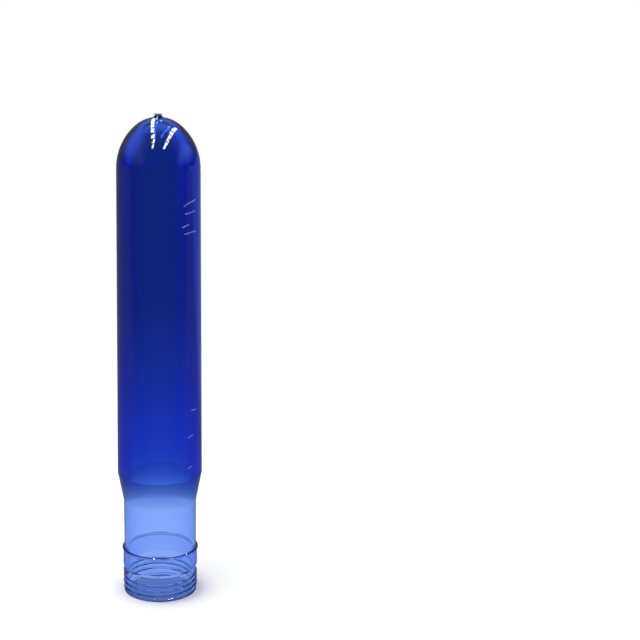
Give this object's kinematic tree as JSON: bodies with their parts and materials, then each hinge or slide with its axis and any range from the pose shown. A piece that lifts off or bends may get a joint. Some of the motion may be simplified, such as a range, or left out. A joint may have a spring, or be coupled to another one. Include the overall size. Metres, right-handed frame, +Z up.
{
  "type": "pet bottle preform",
  "caption": "Thick-walled clear blue plastic preform, standing on its threaded neck, to be blown into a large water bottle.",
  "frame": {"origin": "centre of the mouth's sealing face, which the preform stands on", "axes": "+Z up the axis from the mouth to the gate at the top of the dome; the neck's parting line faces -Y"},
  "size_m": [0.0622, 0.0622, 0.3613],
  "materials": {
    "blue_pet": "clear tinted, polished"
  },
  "bodies": {
    "root": {"preform": "blue_pet"}
  },
  "joints": []
}
